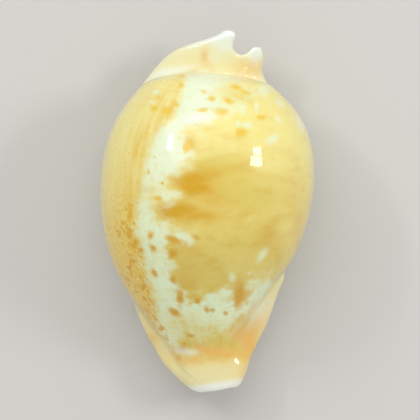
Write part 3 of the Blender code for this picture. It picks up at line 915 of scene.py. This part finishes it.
def mottleGroup():
    # Cloudy variation between 0 and 1, with a little fine grain in it.
    write, given = newGroup("mottle", "ShaderNodeTree", {
        "Position": "Vector", "Size": "Float", "Contrast": "Float", "Fineness": "Float"}, {"Value": "Float"})
    noise = write.noise(given["Position"], write.math("DIVIDE", 1.0, given["Size"]), 4.0, given["Fineness"])
    spread = write.times(write.minus(noise, 0.5), given["Contrast"])
    return write.finished(write.clamped(write.plus(spread, 0.5)))


def speckGroup():
    # Small scattered specks: how much of the surface they take follows Density.
    write, given = newGroup("specks", "ShaderNodeTree", {
        "Position": "Vector", "Cell": "Float", "Density": "Float"}, {"Mask": "Float"})
    scale = write.math("DIVIDE", 1.0, given["Cell"])
    cells = write.node("ShaderNodeTexVoronoi", {
        "Vector": given["Position"], "Scale": scale, "Randomness": 1.0})
    own = write.node("ShaderNodeSeparateColor", {"Color": cells.outputs["Color"]}).outputs[0]
    size = write.times(write.plus(own, -0.15), given["Density"])
    edge = write.between(write.noise(given["Position"], 1.6, 2.0, 0.5), -0.125, 0.125)
    gap = write.minus(size, write.plus(cells.outputs["Distance"], edge))
    return write.finished(write.soft(gap, -0.1, 0.12))


groups = {"waver": waverGroup(), "mottle": mottleGroup(), "specks": speckGroup()}


def mottled(write, position, kind):
    size, contrast, fineness = pattern[kind]
    return write.use("mottle", Position=position, Size=size, Contrast=contrast, Fineness=fineness)


def newMaterial(name):
    material = bpy.data.materials.new(name)
    material.use_nodes = True
    return material, material.node_tree.nodes["Principled BSDF"]


def newGlaze(name):
    # A glossy material. Returns it, its writer, its surface and places on the shell in millimetres.
    material, surface = newMaterial(name)
    write = NodeWriter(material.node_tree)
    surface.inputs["Specular IOR Level"].default_value = glaze["sheenUnderCoat"]
    surface.inputs["Coat Weight"].default_value = glaze["coat"]
    surface.inputs["Coat Roughness"].default_value = glaze["coatRoughness"]
    place = write.tree.nodes.new("ShaderNodeTexCoord").outputs["Object"]
    return material, write, surface, write.vector("SCALE", {0: place, "Scale": 1 / mm})


def shellGlaze():
    material, write, surface, place = newGlaze("shell glaze")
    read, soft, between, mix, gain = write.read, write.soft, write.between, write.mix, write.gain
    times, plus, minus, largest, clamped = write.times, write.plus, write.minus, write.largest, write.clamped
    placed = write.node("ShaderNodeSeparateXYZ", {0: place}).outputs
    across, station = placed["X"], placed["Y"]
    upper, level, beltEdge = read("upper"), read("level"), read("beltEdge")

    def drawnOut(shares):
        # The surface laid flat and scaled, so that what is drawn on it runs one way.
        flat = {0: times(read("aroundBack"), shares[0]), 1: times(station, shares[1])}
        return write.node("ShaderNodeCombineXYZ", flat).outputs[0]

    def filled(share):
        # Thin parts of a marking keep more of its colour.
        return minus(1.0, write.math("POWER", minus(1.0, clamped(share)), 1.9))

    def wandering(distance, kind):
        softness, wander, size = pattern[kind]
        return write.use("waver", Position=place, Distance=distance, Soft=softness, Wander=wander, Size=size)

    def along(kind):
        return soft(station, *pattern[kind])

    cloudy, grain = mottled(write, place, "clouds"), mottled(write, place, "grain")
    # Close to the spire the flat layout fans out, so what is drawn on it gives way to the clouds.
    atSpire = along("atSpire")
    offSpire = minus(1.0, atSpire)
    strokes = times(mottled(write, drawnOut(pattern["strokesDrawn"]), "strokes"), offSpire)
    strokes = plus(strokes, times(cloudy, atSpire))

    # The ground: yellow towards the spire and honey towards the front, with ochre strokes across the back
    frontward = soft(gain(cloudy, 9.0, station), *pattern["frontward"])
    warm = largest(frontward, clamped(read("warm")))
    ground = mix(warm, "yellow", "honey")
    ochre = times(read("ochre"), between(strokes, 0.6, 1.35), upper)
    ground = mix(clamped(ochre), ground, "ochre")
    ground = mix(times(soft(strokes, 0.45, 1.0), 0.3), ground, "ochre")
    light = times(read("light"), between(cloudy, 0.4, 1.3), upper)
    ground = mix(clamped(light), ground, "yellow")

    # The speckled belt on the left, streaked along its length
    belt = wandering(beltEdge, "beltEdge")
    wide, fine, hair = (mottled(write, drawnOut(pattern[drawn]), kind) for drawn, kind in (
        ("wideDrawn", "wideStreaks"), ("fineDrawn", "fineStreaks"), ("hairDrawn", "hairLines")))
    streaks = times(plus(times(wide, 0.5), times(fine, 0.22)), offSpire)
    streaks = plus(streaks, times(cloudy, between(atSpire, 0.3, 0.9)))
    nearEdge = times(soft(beltEdge, 9.0, 0.5), between(atSpire, 1.0, 0.4))
    streaked = times(soft(streaks, 0.25, 0.85), between(nearEdge, 0.2, 1.0))
    streaked = largest(streaked, times(nearEdge, along("beltDarkens"), 0.6))
    beltColour = mix(frontward, "belt", "beltFront")
    beltColour = mix(streaked, beltColour, "beltStreak")
    beltColour = mix(times(soft(hair, 0.5, 1.0), offSpire, 0.22), beltColour, "yellow")
    ground = mix(belt, ground, beltColour)

    # The pale band and the pale marks, cloudy where they thin out
    beltFront = along("beltFront")
    broken = times(minus(0.5, strokes), soft(beltEdge, -1.5, -7.0), 4.0)
    ragged = times(minus(grain, 0.5), soft(beltEdge, -5.0, -1.0), beltFront, 3.4)
    broken = plus(read("paleEdge"), broken, ragged)
    # The share is raised to a power because blue, of which pale colours have the most, shows at once.
    pale = write.math("POWER", wandering(broken, "paleEdge"), 1.6)
    thinned = times(read("thin"), between(cloudy, 0.2, 1.6))
    pale = times(pale, upper, between(level, 0.4, 1.0), clamped(minus(0.95, thinned)))
    paleColour = mix(frontward, "pale", "paleFront")
    yellowed = times(soft(cloudy, 0.4, 0.9), between(frontward, 0.14, 0.34))
    paleColour = mix(yellowed, paleColour, "yellow")
    ground = mix(pale, ground, paleColour)
    mark = soft(gain(grain, 0.5, read("marks")), 0.35, 1.3)
    ground = mix(times(mark, level, 0.75), ground, paleColour)

    # Specks, thickest along the edge of the front half of the belt, and the spots that stand alone
    crowd = times(belt, beltFront, between(nearEdge, 0.26, 0.62))
    density = plus(crowd, between(belt, 0.06, 0.26))
    turn = {"Vector": drawnOut((1.0, 1.0)), "Angle": math.radians(pattern["speckTurn"])}
    slanting = write.node("ShaderNodeVectorRotate", turn, rotation_type="Z_AXIS").outputs[0]
    slanting = write.vector("MULTIPLY", {0: slanting, 1: pattern["specksDrawn"]})
    elsewhere = write.vector("ADD", {0: slanting, 1: pattern["paleSpecksMoved"]})
    paler = write.use("specks", Position=elsewhere, Cell=pattern["paleSpeckCell"], Density=times(crowd, 0.62))
    ground = mix(times(clamped(paler), 0.6), ground, paleColour)
    speckColour = mix(frontward, "speckSpire", "speck")
    specks = write.use("specks", Position=slanting, Cell=pattern["speckCell"], Density=density)
    specks = times(specks, between(mottled(write, place, "speckTone"), 0.55, 1.25))
    ground = mix(filled(specks), ground, speckColour)
    spot = soft(gain(grain, 0.6, read("spots")), 0.22, 1.25)
    spot = times(spot, level, between(mottled(write, place, "spotTone"), 0.55, 1.25))
    ground = mix(filled(spot), ground, speckColour)

    # The flanges and the two ends: cream with a blush, whitish at their rims
    flange = times(soft(read("flangeCrease"), 0.3, -0.3), along("flangeBegins"))
    beakMask = times(wandering(read("beakEdge"), "beakEdge"), along("beakFades"))
    beakMask = times(largest(beakMask, flange), 0.9)
    tip = soft(gain(cloudy, 3.0, station), *pattern["tip"])
    ends = largest(wandering(read("collarEdge"), "collarEdge"), beakMask, tip)
    ground = mix(ends, ground, mix(along("creamDarkens"), "cream", "creamFront"))
    # Painted shade: a greyer line in the crease between the back and each flange, where shade falls.
    creaseShade = 0.0
    for name, (shift, reach, strength, fades) in pattern["creaseShades"].items():
        line = soft(write.math("ABSOLUTE", minus(read(name), shift)), reach, 0.0)
        line = times(line, strength, *(soft(placed[axis], start, end) for axis, start, end in fades))
        creaseShade = largest(line, creaseShade)
    creaseShade = times(creaseShade, between(cloudy, 0.35, 0.85), upper)
    ground = mix(clamped(creaseShade), ground, "creaseShade")
    leaning = minus(times(across, pattern["beakRimLean"]), station)
    rimward = largest(along("collarRim"), soft(leaning, *pattern["beakRim"]))
    ground = mix(times(rimward, ends, 0.8), ground, "rim")
    blush = times(read("blush"), between(cloudy, 0.45, 1.35), between(grain, 0.65, 1.35), level)
    ground = mix(clamped(blush), ground, "blush")
    ground = mix(clamped(times(read("frost"), level)), ground, "rim")

    # The base, and the inner walls seen through the aperture
    under = wandering(between(upper, 5.5, -4.5), "baseEdge")
    ground = mix(under, ground, mix(times(soft(cloudy, 0.4, 1.0), 0.6), "base", "cream"))
    within = soft(read("depthInside"), 0.8, 3.0)
    ground = mix(within, ground, "inside")
    write.feed(surface.inputs["Base Color"], ground)
    write.feed(surface.inputs["Roughness"], gain(within, 0.2, gain(grain, 0.05, glaze["roughness"])))
    swell = write.noise(place, glaze["bumpScale"], 1.0, 0.5)
    bump = {"Height": swell, "Strength": glaze["bumpStrength"], "Distance": glaze["bumpDepth"] * mm}
    write.feed(surface.inputs["Normal"], write.node("ShaderNodeBump", bump).outputs[0])
    return material


def toothEnamel():
    material, write, surface, place = newGlaze("tooth enamel")
    stain = mottled(write, place, "toothStain")
    write.feed(surface.inputs["Base Color"], write.mix(write.times(stain, 0.6), "tooth", "cream"))
    write.feed(surface.inputs["Roughness"], write.gain(stain, 0.08, glaze["roughness"]))
    return material


shell.data.materials.append(shellGlaze())
withTeeth(shell, toothEnamel())
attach(shell, "root")
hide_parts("shell")
print("shell finished:", len(shell.data.polygons), "faces")

# The camera, the floor and the lights, in metres, with the sensor in millimetres
stage = {
    "frameWidth": 0.105,
    "lookAt": (0.000675, 0.0003, 0.016),
    "cameraHeight": 1.2,
    "sensor": 36.0,
    "floorColour": (0.83, 0.82, 0.80),
    "floorRoughness": 0.9,
    "floorHalf": 3.0,
    "skyColour": (0.96, 0.98, 1.0),
    "skyStrength": 0.60,
    # Lights: the direction each shines from, its distance, width, height, turn and radiance,
    # and whether the gloss mirrors it
    "lights": {
        "big soft box": ((-0.15, 0.75, 0.95), 1.3, 1.5, 1.2, 0.0, 1.03, True),
        "front fill": ((0.05, -0.97, 0.24), 1.2, 1.4, 0.4, 0.0, 0.75, False),
        "window right, upper": ((0.735, 0.29, 0.615), 0.8, 0.1, 0.13, -15.0, 13.0, True),
        "window right, lower": ((0.735, 0.16, 0.66), 0.8, 0.1, 0.19, -15.0, 13.0, True),
        "window left": ((-0.57, 0.46, 0.68), 0.8, 0.07, 0.2, -53.0, 16.0, True),
    },
}


def setFloor():
    half = stage["floorHalf"]
    corners = [(-half, -half, 0.0), (half, -half, 0.0), (half, half, 0.0), (-half, half, 0.0)]
    floor = meshObject("floor", corners, [(0, 1, 2, 3)])
    paper, surface = newMaterial("pale paper")
    surface.inputs["Base Color"].default_value = seen(stage["floorColour"])
    surface.inputs["Roughness"].default_value = stage["floorRoughness"]
    floor.data.materials.append(paper)


def setStage():
    scene = bpy.context.scene
    scene.world = bpy.data.worlds.new("studio")
    scene.world.use_nodes = True
    sky = scene.world.node_tree.nodes["Background"]
    sky.inputs["Color"].default_value = (*stage["skyColour"], 1.0)
    sky.inputs["Strength"].default_value = stage["skyStrength"]
    scene.view_settings.view_transform = "Standard"

    target = Vector(stage["lookAt"])
    for name, (source, distance, width, height, turn, radiance, mirrored) in stage["lights"].items():
        light = bpy.data.lights.new(name, "AREA")
        light.shape = "RECTANGLE"
        light.size, light.size_y = width, height
        light.energy = radiance * math.pi * width * height
        lamp = bpy.data.objects.new(name, light)
        away = Vector(source).normalized()
        lamp.location = target + away * distance
        roll = Quaternion((0.0, 0.0, 1.0), math.radians(turn))
        lamp.rotation_euler = (away.to_track_quat("Z", "Y") @ roll).to_euler()
        lamp.visible_camera = False
        lamp.visible_glossy = mirrored
        scene.collection.objects.link(lamp)

    view = bpy.data.cameras.new("camera")
    view.sensor_width = stage["sensor"]
    view.lens = stage["sensor"] * stage["cameraHeight"] / stage["frameWidth"]
    view.clip_start, view.clip_end = 0.01, 10.0
    camera = bpy.data.objects.new("camera", view)
    camera.location = target + Vector((0.0, 0.0, stage["cameraHeight"]))
    scene.collection.objects.link(camera)
    scene.camera = camera


setFloor()
setStage()
print("stage set")
